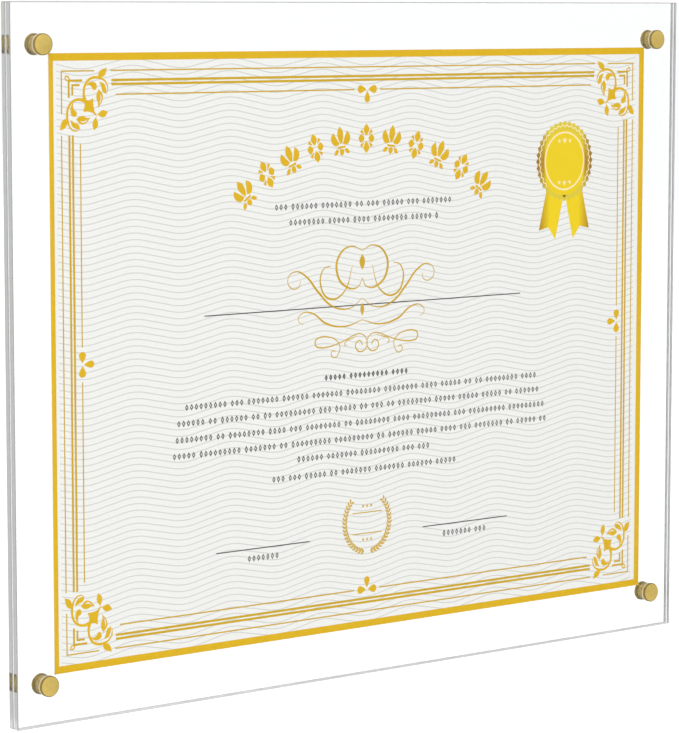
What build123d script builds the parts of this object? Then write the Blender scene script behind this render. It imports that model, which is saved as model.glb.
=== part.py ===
from build123d import *
from math import radians, tan
import os

# Certificate frame: a printed certificate lies between two clear acrylic panels.
# A low turned brass post at each corner goes through both panels and is screwed to the wall,
# and a brass cap with a threaded stud closes the stack from the room side.
#
# +X is right, +Z is up, the wall is the plane Y = 0 and the room is on the -Y side.
# The origin is the middle of the four wall screws, on the wall. Lengths are in millimetres.

# Certificate: a letter-size card, wider than high
certificate_width = 279.4
certificate_height = 215.9
certificate_thickness = 0.35
slot_play = 0.05              # room in front of the card, so that it slides in from above

# Threaded joint of cap and post
stud_diameter = 5.0
thread_pitch = 0.8
engaged_turns = 4.0
thread_clearance = 0.05       # radial, the threads are plain cylinders
stud_tip_bevel = 0.4
stud_seat_depth = 1.0         # how deep the stud is pressed into the cap

# Brass post
sleeve_wall = 0.5
sleeve_set_back = 0.3         # sleeve ends this far inside the front panel
flange_thickness = 0.6
post_floor_thickness = 1.2
wall_screw_hole_diameter = 2.6
countersink_diameter = 4.2
countersink_angle = 82.0      # degrees, for a flat-head wood screw

# Brass cap
cap_thickness = 1.7
cap_overlap = 0.6             # how far the cap covers the panel round its hole
cap_front_bevel = 0.22

# Clear film washers behind, between and in front of the panels
washer_thickness = 0.25
washer_set_back = 0.2         # inside the rim of cap and flange
washer_clearance = 0.1        # radial, round the sleeve or the stud

# Acrylic panels
panel_thickness = 2.6
panel_hole_clearance = 0.1    # radial, round the sleeve
panel_edge_bevel = 0.3
card_side_gap = 0.55          # from the card's side edges to the spacers
fastener_rise = 3.05          # fastener centres above and below the card's edges
panel_side_margin = 12.2      # from the fasteners' centres to the panel's left and right edges
panel_end_margin = 14.5       # from the fasteners' centres to the top and bottom edges

# Diameters that follow from the stud outwards
bore_diameter = stud_diameter + 2 * thread_clearance
sleeve_diameter = bore_diameter + 2 * sleeve_wall
panel_hole_diameter = sleeve_diameter + 2 * panel_hole_clearance
cap_diameter = panel_hole_diameter + 2 * cap_overlap
washer_diameter = cap_diameter - 2 * washer_set_back

# Fastener centres and panel size that follow from the card
fastener_span_x = certificate_width + 2 * card_side_gap + washer_diameter
fastener_span_z = certificate_height + 2 * fastener_rise
panel_width = fastener_span_x + 2 * panel_side_margin
panel_height = fastener_span_z + 2 * panel_end_margin

# Stack along Y, from the wall towards the room
flange_front_y = -flange_thickness
back_panel_rear_y = flange_front_y - washer_thickness
back_panel_front_y = back_panel_rear_y - panel_thickness
slot_depth = certificate_thickness + slot_play
front_panel_rear_y = back_panel_front_y - slot_depth
front_panel_front_y = front_panel_rear_y - panel_thickness
cap_rear_y = front_panel_front_y - washer_thickness
cap_front_y = cap_rear_y - cap_thickness
sleeve_end_y = front_panel_front_y + sleeve_set_back
stud_tip_y = sleeve_end_y + thread_pitch * engaged_turns
stud_seat_y = cap_rear_y - stud_seat_depth

CORNERS = {"top_left": (-1, 1), "top_right": (1, 1), "bottom_left": (-1, -1), "bottom_right": (1, -1)}


def at_corner(piece, side_x, side_z):
    """Move a piece made on the Y axis to one of the four fastener centres."""
    return Pos(side_x * fastener_span_x / 2, 0, side_z * fastener_span_z / 2) * piece


def turned(*profile):
    """Turn a closed profile of (radius, y) points about the Y axis."""
    outline = Polyline(*profile, close=True)
    return revolve(make_face(outline), Axis.Y)


def ring(outer_diameter, inner_diameter, rear_y, front_y):
    """A flat ring about the Y axis between two planes."""
    return turned(
        (inner_diameter / 2, rear_y),
        (outer_diameter / 2, rear_y),
        (outer_diameter / 2, front_y),
        (inner_diameter / 2, front_y),
    )


def make_panel(rear_y):
    """A clear acrylic panel with polished bevelled edges and a straight cut hole at each corner."""
    front_y = rear_y - panel_thickness
    panel = Pos(0, (rear_y + front_y) / 2, 0) * Box(panel_width, panel_thickness, panel_height)
    panel = chamfer(panel.edges(), panel_edge_bevel)
    hole = turned((0, rear_y), (panel_hole_diameter / 2, rear_y), (panel_hole_diameter / 2, front_y), (0, front_y))
    for side_x, side_z in CORNERS.values():
        panel -= at_corner(hole, side_x, side_z)
    return panel


def make_certificate():
    """The card, lying against the back panel."""
    middle_y = back_panel_front_y - certificate_thickness / 2
    return Pos(0, middle_y, 0) * Box(certificate_width, certificate_thickness, certificate_height)


def make_post():
    """A flanged brass sleeve with a bored thread and a countersunk floor for the wall screw."""
    flange_radius = cap_diameter / 2
    sleeve_radius = sleeve_diameter / 2
    bore_radius = bore_diameter / 2
    hole_radius = wall_screw_hole_diameter / 2
    countersink_radius = countersink_diameter / 2
    countersink_depth = (countersink_radius - hole_radius) / tan(radians(countersink_angle / 2))
    floor_y = -post_floor_thickness
    return turned(
        (hole_radius, 0),
        (flange_radius, 0),
        (flange_radius, flange_front_y),
        (sleeve_radius, flange_front_y),
        (sleeve_radius, sleeve_end_y),
        (bore_radius, sleeve_end_y),
        (bore_radius, floor_y),
        (countersink_radius, floor_y),
        (hole_radius, floor_y + countersink_depth),
    )


def make_cap():
    """A flat brass cap with a bevelled rim and a blind bore that the stud is pressed into."""
    cap_radius = cap_diameter / 2
    stud_radius = stud_diameter / 2
    return turned(
        (0, cap_front_y),
        (cap_radius - cap_front_bevel, cap_front_y),
        (cap_radius, cap_front_y + cap_front_bevel),
        (cap_radius, cap_rear_y),
        (stud_radius, cap_rear_y),
        (stud_radius, stud_seat_y),
        (0, stud_seat_y),
    )


def make_stud():
    """A headless brass stud with a bevelled tip, its thread drawn as a plain cylinder."""
    stud_radius = stud_diameter / 2
    return turned(
        (0, stud_tip_y),
        (stud_radius - stud_tip_bevel, stud_tip_y),
        (stud_radius, stud_tip_y - stud_tip_bevel),
        (stud_radius, stud_seat_y),
        (0, stud_seat_y),
    )


def make_fastener():
    """The six turned pieces of one fastener, each about the Y axis."""
    sleeve_ring_bore = sleeve_diameter + 2 * washer_clearance
    stud_ring_bore = stud_diameter + 2 * washer_clearance
    return {
        "post": make_post(),
        "rear_washer": ring(washer_diameter, sleeve_ring_bore, flange_front_y, back_panel_rear_y),
        "spacer": ring(washer_diameter, sleeve_ring_bore, back_panel_front_y, front_panel_rear_y),
        "front_washer": ring(washer_diameter, stud_ring_bore, front_panel_front_y, cap_rear_y),
        "cap": make_cap(),
        "stud": make_stud(),
    }


def make_nodes():
    """All pieces of the frame by node name."""
    nodes = {
        "back_panel": make_panel(back_panel_rear_y),
        "certificate": make_certificate(),
        "front_panel": make_panel(front_panel_rear_y),
    }
    for piece_name, piece in make_fastener().items():
        for corner_name, (side_x, side_z) in CORNERS.items():
            nodes[f"{piece_name}_{corner_name}"] = at_corner(piece, side_x, side_z)
    return nodes


os.makedirs("parts", exist_ok=True)
for node_name, node in make_nodes().items():
    export_step(node, f"parts/{node_name}.step")

print(f"panels {panel_width:.1f} x {panel_height:.1f}, stack {-cap_front_y:.2f} deep")
print(f"fasteners {fastener_span_x:.1f} x {fastener_span_z:.1f}, caps {cap_diameter:.2f} across")
print(f"panel faces at {front_panel_front_y:.2f} and {back_panel_rear_y:.2f}")
print(f"cap travel {thread_pitch * engaged_turns:.2f} over {engaged_turns:.1f} turns")
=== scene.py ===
# Looks of the certificate frame: a printed letter-size card between two clear acrylic panels, held at the
# corners by turned brass posts and screw caps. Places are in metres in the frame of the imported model.
# Drawings on the card and pieces being modelled are in millimetres until they are put in place.
import random
from math import atan2, cos, pi, radians, sin

import bmesh
import bpy
from bpy.props import FloatProperty, FloatVectorProperty, IntProperty, PointerProperty
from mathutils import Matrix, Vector


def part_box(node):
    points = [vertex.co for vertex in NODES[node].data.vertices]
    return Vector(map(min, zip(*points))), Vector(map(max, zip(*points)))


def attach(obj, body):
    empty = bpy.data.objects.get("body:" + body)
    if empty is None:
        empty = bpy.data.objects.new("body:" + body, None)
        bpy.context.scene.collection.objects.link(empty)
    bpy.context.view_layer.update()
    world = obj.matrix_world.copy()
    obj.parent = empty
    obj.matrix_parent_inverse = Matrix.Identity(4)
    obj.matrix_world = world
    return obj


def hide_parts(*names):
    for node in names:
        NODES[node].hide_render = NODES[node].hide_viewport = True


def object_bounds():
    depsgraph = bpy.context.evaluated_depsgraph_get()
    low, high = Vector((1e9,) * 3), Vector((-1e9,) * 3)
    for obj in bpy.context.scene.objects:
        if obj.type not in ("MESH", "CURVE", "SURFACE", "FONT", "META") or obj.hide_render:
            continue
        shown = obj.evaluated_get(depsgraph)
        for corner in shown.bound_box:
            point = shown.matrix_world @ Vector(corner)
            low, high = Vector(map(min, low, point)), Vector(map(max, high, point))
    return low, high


bl_info = {
    "name": "Certificate frame",
    "version": (1, 0, 0),
    "blender": (4, 5, 0),
    "location": "View3D > Sidebar > Certificate frame",
    "description": "Dresses an acrylic certificate frame with its print, brass fasteners and studio",
    "category": "Object",
}

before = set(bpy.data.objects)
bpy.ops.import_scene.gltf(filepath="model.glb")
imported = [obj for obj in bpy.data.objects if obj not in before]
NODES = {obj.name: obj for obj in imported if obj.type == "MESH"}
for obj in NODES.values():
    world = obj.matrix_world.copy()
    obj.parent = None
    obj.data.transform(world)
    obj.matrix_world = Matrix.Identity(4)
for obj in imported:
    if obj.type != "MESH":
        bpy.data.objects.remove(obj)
CAD_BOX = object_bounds()
MM = 0.001
CORNERS = {"top_left": (-1, 1), "top_right": (1, 1), "bottom_left": (-1, -1), "bottom_right": (1, -1)}
NEAR = 0.01  # millimetres, for picking faces and edges by their place
TURNING_ROOM = 0.01  # millimetres between a cap and the washer that it turns on

# The card, and the print layers that fit between it and the front panel
CARD_LOW, CARD_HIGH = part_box("certificate")
CARD_FACE = CARD_LOW.y
CARD_WIDTH = (CARD_HIGH.x - CARD_LOW.x) / MM
CARD_HEIGHT = (CARD_HIGH.z - CARD_LOW.z) / MM
PRINT_LAYERS = 7
PRINT_LAYER = (CARD_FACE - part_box("front_panel")[1].y) / MM / PRINT_LAYERS
WAVE_LAYER, RULE_LAYER, INK_LAYER = 1, 1.5, 2
RIBBON_LAYER, RIM_LAYER, ZIGZAG_LAYER, DISC_LAYER, RING_LAYER = 2, 3, 4, 5, 6

# The artwork was drawn for a wider sheet, so it stands a little taller than it is wide on this card, and its
# border is printed a little left of the card's middle
SQUEEZE = 1.09
BORDER_SHIFT = -0.4


def linear(hex_code):
    """Linear RGBA of an sRGB hex colour."""
    channels = [int(hex_code[i:i + 2], 16) / 255 for i in (1, 3, 5)]
    return [c / 12.92 if c <= 0.04045 else ((c + 0.055) / 1.055) ** 2.4 for c in channels] + [1.0]


def colour_property(name, description, hex_code):
    return FloatVectorProperty(name=name, description=description, subtype="COLOR", size=4, min=0, max=1,
                               default=linear(hex_code))


def length_property(name, description, millimetres):
    return FloatProperty(name=name, description=description, subtype="DISTANCE", unit="LENGTH",
                         default=millimetres * MM, precision=5)


def share_property(name, description, share):
    return FloatProperty(name=name, description=description, subtype="FACTOR", min=0, max=1, default=share)


def strength_property(name, description, strength):
    return FloatProperty(name=name, description=description, min=0, default=strength)


def angle_property(name, description, degrees):
    return FloatProperty(name=name, description=description, subtype="ANGLE", unit="ROTATION",
                         default=radians(degrees))


def satin_property(name, edges, shares):
    return FloatVectorProperty(name=name, size=4, min=0, max=1, default=shares,
                               description=f"Satin of the {edges} edges: bevels, faces, both from inside")


class PrintSettings(bpy.types.PropertyGroup):
    paper: colour_property("Paper", "Smooth white card", "#F3F2EE")
    gold: colour_property("Gold ink", "Edge band, ornaments and title", "#E4B91D")
    gold_shade: colour_property("Gold ink shade", "Where the gold ink lies thicker", "#DAAD15")
    line_gold: colour_property("Line gold", "Thin gold lines, duller than the filled shapes", "#D3AE2A")
    wave_grey: colour_property("Wave grey", "Fine wave lines of the ground", "#D3D2CC")
    text_grey: colour_property("Text grey", "Rows of small hollow lozenges", "#424240")
    rule_grey: colour_property("Rule grey", "Ruled lines for name and signatures", "#343432")
    cream: colour_property("Cream", "Zigzag, ring and stars of the seal", "#FFEFC0")
    wave_pitch: length_property("Wave pitch", "From one wave line to the next", 2.34)
    wave_length: length_property("Wave length", "From crest to crest", 41.8)
    wave_height: length_property("Wave height", "From the middle of a wave to its crest", 1.7)
    wave_width: length_property("Wave line width", "Width of one wave line", 0.36)
    wave_crest: length_property("First crest", "From the card's left edge to the first crest", 34.5)
    word_seed: IntProperty(name="Word seed", description="Seed of the words in the text rows", default=29)


class FastenerSettings(bpy.types.PropertyGroup):
    cap_colour: colour_property("Cap brass", "Satin turned brass of the caps", "#F2D97C")
    # Painted shade: the post's flange is a darker brass than its sleeve, for the shade it sits in behind the
    # panels
    post_shade_colour: colour_property("Post brass", "Bronzed brass of the posts", "#A3924B")
    # Painted shade: a darker brass round the rim of the cap's face and on the front of its wall
    rim_shade_colour: colour_property("Rim brass", "Darker rim round the cap's face", "#927E46")
    # Painted highlight: a pale cream brass on the cap's wall behind its rim
    wall_highlight_colour: colour_property("Wall brass", "Pale polished wall of the cap behind its rim", "#D9CBB0")
    rim_start: length_property("Rim start", "From the cap's middle to where its rim is darker", 3.52)
    rim_fade: length_property("Rim fade", "How far the face turns into the darker rim", 0.15)
    rim_width: length_property("Rim width", "How far the darker rim goes back on the cap's wall", 0.95)
    sleeve_colour: colour_property("Sleeve brass", "Brass of the post's sleeve", "#BFA446")
    stud_colour: colour_property("Stud brass", "Bright brass of the threaded studs", "#DDBE70")
    cap_edge: length_property("Cap edge", "Rounding of the cap's front edge", 0.22)
    thread_pitch: length_property("Thread pitch", "Rise of the stud's thread in one turn", 0.8)
    thread_depth: length_property("Thread depth", "From the crest to the root of the thread", 0.43)
    sleeve_radius: length_property("Sleeve radius", "Outside of the post's sleeve", 3.05)
    bore_radius: length_property("Bore radius", "Inside of the post's sleeve", 2.55)
    flange_thickness: length_property("Flange thickness", "Disc of the post behind the panel", 0.6)
    floor_thickness: length_property("Floor thickness", "Floor of the post's bore", 1.2)
    screw_hole_radius: length_property("Screw hole radius", "Hole for the wall screw", 1.3)
    countersink_radius: length_property("Countersink radius", "Mouth of the countersink", 2.1)
    countersink_depth: length_property("Countersink depth", "Depth of the countersink", 0.92)
    edge_break: length_property("Edge break", "Broken edges of turned pieces", 0.05)
    turning_pitch: length_property("Turning pitch", "Spacing of the tool marks on the brass", 0.18)


class PanelSettings(bpy.types.PropertyGroup):
    edge_grey: colour_property("Edge grey", "Satin edges of the panels, seen from outside", "#E2E3E3")
    # Painted shade: the sawn edges are a darker grey where they are seen from inside the panel
    inner_shade_grey: colour_property("Inner grey", "The same edges, seen from inside the panel", "#B4B5B6")
    # Painted shade and light: the bevels are a darker grey than the edges, and those of the lower edge are
    # painted lighter, as if lit from below
    bevel_grey: colour_property("Bevel grey", "Bevels along the edges", "#949595")
    edge_bevel: length_property("Edge bevel", "Bevel along the panels' edges", 0.3)
    low_bevel_light_grey: colour_property("Low bevel grey", "Bevels of the lower edge, lit from below", "#D8D9D9")
    side_satin: satin_property("Side satin", "left and right", (0.95, 0.6, 0.9, 0.9))
    end_satin: satin_property("End satin", "top and bottom", (0.95, 0.6, 0.95, 0.08))
    polish_reach: length_property("Polish reach", "How far the edge is polished past a post's middle", 2.9)
    polish_fade: length_property("Polish fade", "From the end of the polished place to the full satin", 0.6)
    polish_rise: length_property("Polish rise", "Upward shift of the polish at the lower posts", 2.2)
    polish_satin: share_property("Polish satin", "What is left of the satin where it is polished", 0.0)
    hole_reach: length_property("Hole reach", "From a fastener's middle to just outside its hole", 3.2)
    hole_satin: share_property("Hole satin", "How satin the walls of the holes are", 0.03)


class StageSettings(bpy.types.PropertyGroup):
    lens: FloatProperty(name="Lens", description="Focal length of the camera", subtype="DISTANCE_CAMERA",
                        unit="CAMERA", default=153.83)
    camera_place: FloatVectorProperty(name="Camera place", description="Where the camera stands",
                                      subtype="TRANSLATION", unit="LENGTH", size=3,
                                      default=(-0.7239, -0.91155, 0.1223), precision=5)
    camera_yaw: angle_property("Camera yaw", "Turn of the camera to the right", 38.083)
    camera_drop: angle_property("Camera drop", "Downward tilt of the camera", 6.479)
    ambient: strength_property("Ambient", "Strength of the white room as light", 0.865)
    behind_gloss: strength_property("Behind gloss", "Brightness of the room behind in glass and metal", 1.24)
    room_gloss: strength_property("Room gloss", "How bright the room in front of the frame mirrors", 0.9)
    flag_gloss: strength_property("Flag gloss", "How bright the black flag mirrors", 0.03)
    flag_place: FloatVectorProperty(name="Flag place", description="Direction of the black flag",
                                    subtype="DIRECTION", size=3, default=(0.613, -0.782, -0.112))
    floor_drop: length_property("Floor drop", "From the frame's lower edge down to the floor", 330)
    floor_glow: strength_property("Floor glow", "How much the floor glows to the eye", 0.4)
    floor_glow_in_glass: strength_property("Floor glow in glass", "How much it glows through the panels", 0.5)


def settings():
    return bpy.context.scene.certificate_frame


# Node and material helpers

def add_node(tree, kind, values):
    """Add a shader node and set its properties and inputs. An input that is given a node or an output is
    linked to it, with a node standing for its first output."""
    node = tree.nodes.new("ShaderNode" + kind)
    for key, value in values.items():
        if isinstance(value, bpy.types.Node):
            value = value.outputs[0]
        if isinstance(value, bpy.types.NodeSocket):
            tree.links.new(value, node.inputs[key])
        elif isinstance(key, int) or key in node.inputs:
            node.inputs[key].default_value = value
        else:
            setattr(node, key, value)
    return node


def calculated(tree, operation, *inputs):
    """A number worked out from others."""
    return add_node(tree, "Math", {"operation": operation, **dict(enumerate(inputs))})


def vector(tree, operation, *inputs):
    """A vector worked out from others."""
    return add_node(tree, "VectorMath", {"operation": operation, **dict(enumerate(inputs))})


def scaled(tree, value, start, end, low=0.0, high=1.0):
    """A number that goes from low to high while the value goes from start to end."""
    return add_node(tree, "MapRange", {
        "Value": value, "From Min": start, "From Max": end, "To Min": low, "To Max": high})


def mixed(tree, share, first, second, blend_type="MIX"):
    """A mix of two colours."""
    return add_node(tree, "Mix", {
        "data_type": "RGBA", "blend_type": blend_type, 0: share, 6: first, 7: second}).outputs[2]


def between(tree, share, first, second):
    """A number between two others."""
    return add_node(tree, "Mix", {"data_type": "FLOAT", 0: share, 2: first, 3: second})


def along(tree, place, axis):
    """A place's distance along one of its axes."""
    return add_node(tree, "SeparateXYZ", {0: place}).outputs[axis]


def mixed_shader(tree, share, first, second):
    return add_node(tree, "MixShader", {0: share, 1: first, 2: second})


def surface(tree, colour, roughness, **more):
    """An opaque surface. More inputs are given by name, with _ for a space."""
    named = {key.replace("_", " "): value for key, value in more.items()}
    return add_node(tree, "BsdfPrincipled", {"Base Color": colour, "Roughness": roughness, **named})


def piece_place(tree):
    return add_node(tree, "TexCoord", {}).outputs["Object"]


def grain(tree, millimetres, detail):
    """Cloudy noise of about this size on a piece."""
    return add_node(tree, "TexNoise", {
        "Scale": 1 / (millimetres * MM), "Detail": detail, "Vector": piece_place(tree)}).outputs["Fac"]


def bumps(tree, strength, height):
    return add_node(tree, "Bump", {"Strength": strength, "Distance": 0.02 * MM, "Height": height})


def new_material(name):
    """An empty node material."""
    material = bpy.data.materials.new(name)
    material.use_nodes = True
    material.node_tree.nodes.clear()
    return material, material.node_tree


def close_material(material, shader):
    add_node(material.node_tree, "OutputMaterial", {"Surface": shader})
    return material


def let_light_through(tree, shader):
    """Show a clear material as it is to the eye, and as nothing to lamps and soft light behind it."""
    path = add_node(tree, "LightPath", {}).outputs
    unseen = calculated(tree, "MAXIMUM", path["Is Shadow Ray"], path["Is Diffuse Ray"])
    return mixed_shader(tree, unseen, shader, add_node(tree, "BsdfTransparent", {}))


# Materials

def clear_cast_acrylic():
    """Cast acrylic sheet: clear and glossy on its faces, with saw-cut edges that are satin and look light
    grey, and polished beside the posts. The drilled holes sit so close round the posts that their walls
    hardly show."""
    panel = settings().panel
    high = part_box("front_panel")[1]
    cap_low, cap_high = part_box("cap_top_right")
    post_x, post_z = (cap_low.x + cap_high.x) / 2, (cap_low.z + cap_high.z) / 2
    slack = 0.03 * panel.edge_bevel
    material, tree = new_material("clear_cast_acrylic")
    sheet = surface(tree, linear("#FCFDFD"), 0.0, Transmission_Weight=1.0, IOR=1.49)
    place = piece_place(tree)
    from_inside = add_node(tree, "NewGeometry", {}).outputs["Backfacing"]
    away = vector(tree, "ABSOLUTE", place)
    height = along(tree, place, 2)

    lowered = calculated(tree, "SUBTRACT", height, panel.polish_rise / 2)
    from_middle = calculated(tree, "ABSOLUTE", lowered)
    from_post = calculated(tree, "SUBTRACT", from_middle, post_z - panel.polish_rise / 2)
    sawn_share = scaled(tree, calculated(tree, "ABSOLUTE", from_post), panel.polish_reach,
                        panel.polish_reach + panel.polish_fade, panel.polish_satin)

    shares, faces = [], []
    for axis, reach, satin in ((0, high.x, panel.side_satin), (2, high.z, panel.end_satin)):
        distance = along(tree, away, axis)
        on_edge = calculated(tree, "GREATER_THAN", distance, reach - panel.edge_bevel + slack)
        on_face = calculated(tree, "GREATER_THAN", distance, reach - slack)
        face_satin = calculated(tree, "MULTIPLY", sawn_share, satin[1]) if axis == 0 else satin[1]
        outside = between(tree, on_face, satin[0], face_satin)
        inside = between(tree, on_face, satin[2], satin[3])
        shares.append(calculated(tree, "MULTIPLY", on_edge, between(tree, from_inside, outside, inside)))
        faces.append(on_face)

    # Painted shade: edges seen from inside the panel are a darker grey
    grey = mixed(tree, from_inside, panel.edge_grey, panel.inner_shade_grey)
    # Painted shade and light: bevels darker grey, lighter on the lower edge
    low = calculated(tree, "LESS_THAN", height, panel.edge_bevel - high.z)
    bevel = mixed(tree, low, panel.bevel_grey, panel.low_bevel_light_grey)
    ground = mixed(tree, calculated(tree, "MAXIMUM", *faces), bevel, grey)
    sawn = mixed(tree, grain(tree, 3, 2.0), ground, linear("#F2F2F2"), "MULTIPLY")
    edge = surface(tree, sawn, 0.5, Specular_IOR_Level=0.3)
    whole = mixed_shader(tree, calculated(tree, "MAXIMUM", *shares), sheet, edge)

    beside = vector(tree, "SUBTRACT", away, (post_x, 0, post_z))
    to_post = vector(tree, "LENGTH", vector(tree, "MULTIPLY", beside, (1, 0, 1))).outputs["Value"]
    in_hole = calculated(tree, "LESS_THAN", to_post, panel.hole_reach)
    wall = mixed_shader(tree, panel.hole_satin, add_node(tree, "BsdfTransparent", {}), edge)
    return close_material(material, let_light_through(tree, mixed_shader(tree, in_hole, whole, wall)))


def clear_film():
    """Punched polyester film: thin, clear and slightly cloudy, so a washer shows only as a faint ring."""
    material, tree = new_material("clear_polyester_film")
    share = scaled(tree, grain(tree, 1.2, 2.0), 0, 1, 0.06, 0.16)
    nothing = add_node(tree, "BsdfTransparent", {"Color": linear("#F6F7F6")})
    haze = surface(tree, linear("#E6E7E6"), 0.25)
    return close_material(material, let_light_through(tree, mixed_shader(tree, share, nothing, haze)))


def smooth_card():
    """Coated certificate card: matt white, with a very fine fibre that only breaks up the gloss."""
    material, tree = new_material("smooth_white_card")
    fibre = grain(tree, 0.6, 4.0)
    tone = mixed(tree, fibre, settings().print.paper, linear("#EDEDEA"))
    card = surface(tree, tone, 0.75, Specular_IOR_Level=0.2, Normal=bumps(tree, 0.06, fibre))
    return close_material(material, card)


def printed_ink(name):
    """Offset ink on coated card: flat colour with a slight mottle of about 1.5 mm, a little glossier than
    card. Each ink is made when it is first used."""
    inks = settings().print
    colour, shade = {
        "gold_ink": (inks.gold, inks.gold_shade),
        "gold_line_ink": (inks.line_gold, linear("#C9A322")),
        "grey_ground_ink": (inks.wave_grey, linear("#D6D6D2")),
        "grey_text_ink": (inks.text_grey, linear("#525250")),
        "grey_rule_ink": (inks.rule_grey, linear("#525250")),
        "cream_ink": (inks.cream, linear("#FBE3B4")),
        "brown_ink": (linear("#8E6A18"), linear("#7A5A16")),
    }[name]
    if name in bpy.data.materials:
        return bpy.data.materials[name]
    material, tree = new_material(name)
    ink = surface(tree, mixed(tree, grain(tree, 1.5, 3.0), colour, shade), 0.6, Specular_IOR_Level=0.2)
    return close_material(material, ink)


def shaded_foil(name, middle, side, centre_x, half_width, turn):
    """Printed foil that is bright in the middle of the seal and turns brown towards its sides, from one share
    of the half width to another."""
    material, tree = new_material(name)
    across = along(tree, piece_place(tree), 0)
    ramp = add_node(tree, "ValToRGB", {
        0: scaled(tree, across, (centre_x - half_width) * MM, (centre_x + half_width) * MM)})
    stops = ramp.color_ramp.elements
    stops[0].position, stops[0].color = 0.5 - turn[1] / 2, linear(side)
    stops[1].position, stops[1].color = 0.5 + turn[1] / 2, linear(side)
    for position in (0.5 - turn[0] / 2, 0.5 + turn[0] / 2):
        stop = stops.new(position)
        stop.color = linear(middle)
    return close_material(material, surface(tree, ramp, 0.5, Specular_IOR_Level=0.2))


def turned_brass(name, colour, shade, roughness, band=None, outside=None):
    """Turned brass: satin, with fine rings left by the tool. The real rings are finer than the render shows,
    so they are drawn a few times coarser. They follow the piece's own map, which has its axis at zero.
    It has another colour in a band from one depth to another, and outside a radius. On the caps the band is a
    pale painted highlight on the wall, and the colour outside the radius is a darker painted shade round the
    rim; on the posts the band is the sleeve's brass."""
    fastener = settings().fastener
    material, tree = new_material(name)
    place = add_node(tree, "UVMap", {"uv_map": "turned"})
    rings = add_node(tree, "TexWave", {
        "wave_type": "RINGS", "rings_direction": "SPHERICAL", "Distortion": 0.15, "Detail": 1.0,
        "Scale": pi / 10 / (fastener.turning_pitch / MM), "Vector": place}).outputs["Fac"]
    cloud = add_node(tree, "TexNoise", {"Scale": 0.6, "Detail": 3.0, "Vector": place}).outputs["Fac"]
    tone = mixed(tree, cloud, colour, linear(shade))
    # Painted shade on the caps: darker brass outside the radius, round the rim
    if outside:
        radius, painted_rim_shade = outside
        reach = vector(tree, "LENGTH", place).outputs["Value"]
        past_rim = scaled(tree, reach, (radius - fastener.rim_fade) / MM, radius / MM)
        tone = mixed(tree, past_rim, tone, painted_rim_shade)
    # On the caps this band is a painted highlight; on the posts it is the sleeve's brass
    if band:
        start, end, band_colour = band
        depth = along(tree, piece_place(tree), 1)
        in_band = calculated(tree, "COMPARE", depth, (start + end) / 2, (end - start) / 2)
        tone = mixed(tree, in_band, tone, band_colour)
    return close_material(material, surface(
        tree, tone, scaled(tree, rings, 0, 1, roughness - 0.04, roughness + 0.06), Metallic=1.0,
        Normal=bumps(tree, 0.05, rings)))


# Drawing and modelling helpers

def pick(*pieces):
    """Select these pieces and nothing else. The first becomes the active one."""
    bpy.ops.object.select_all(action="DESELECT")
    for piece in pieces:
        piece.select_set(True)
    bpy.context.view_layer.objects.active = pieces[0] if pieces else None


def dress(piece, material):
    piece.data.materials.clear()
    piece.data.materials.append(material)


def set_all(thing, **values):
    for key, value in values.items():
        setattr(thing, key, value)


def modify(piece, kind, **values):
    """Apply a modifier to the selected piece."""
    bpy.ops.object.modifier_add(type=kind)
    modifier = piece.modifiers[-1]
    set_all(modifier, **values)
    bpy.ops.object.modifier_apply(modifier=modifier.name)


def edit(on=True):
    bpy.ops.object.mode_set(mode="EDIT" if on else "OBJECT")


def put_in_place(piece, location=(0, 0, 0), rotation=(0, 0, 0), scale=(1, 1, 1)):
    """Move, turn and stretch the selected piece for good."""
    piece.location, piece.rotation_euler, piece.scale = location, rotation, scale
    bpy.ops.object.transform_apply(location=True, rotation=True, scale=True)


def copied(piece, name, location=(0, 0, 0), rotation=(0, 0, 0), scale=(1, 1, 1)):
    """A copy of a piece, put in its place."""
    pick(piece)
    bpy.ops.object.duplicate()
    copy = bpy.context.object
    copy.name = name
    put_in_place(copy, location, rotation, scale)
    return copy


def moved(points, x=0.0, y=0.0, turn=0.0, wide=1.0, high=1.0):
    """Points of a drawing, stretched, turned and then moved. A third value of a point stays as it is."""
    c, s = cos(turn), sin(turn)
    return [(x + p[0] * wide * c - p[1] * high * s, y + p[0] * wide * s + p[1] * high * c, *p[2:])
            for p in points]


def all_moved(shapes, *place, **stretch):
    return [moved(shape, *place, **stretch) for shape in shapes]


def on_card(x, down):
    """Drawing place of a point given from the card's left and top edges."""
    return x - CARD_WIDTH / 2, CARD_HEIGHT / 2 - down


def bar(left, top, right, bottom):
    """Outline of an upright rectangle given from the card's left and top edges."""
    x0, y0 = on_card(left, top)
    x1, y1 = on_card(right, bottom)
    return [(x0, y0, "tip"), (x1, y0, "tip"), (x1, y1, "tip"), (x0, y1, "tip")]


def add_line(curve, points, closed):
    """Add a closed outline or an open pen stroke. A point is (x, y) where the line runs smoothly,
    (x, y, "tip") at a tip, and (x, y, half of the pen's width) in a stroke."""
    straight = all(p[2:] == ("tip",) for p in points)
    spline = curve.splines.new("POLY" if straight else "BEZIER")
    knots = spline.points if straight else spline.bezier_points
    knots.add(len(points) - 1)
    for knot, (x, y, *kind) in zip(knots, points):
        knot.co = (x, y, 0, 1) if straight else (x, y, 0)
        if not straight:
            knot.handle_left_type = knot.handle_right_type = "VECTOR" if kind == ["tip"] else "AUTO"
        if not closed:
            knot.radius = kind[0]
    spline.use_cyclic_u = closed


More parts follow.
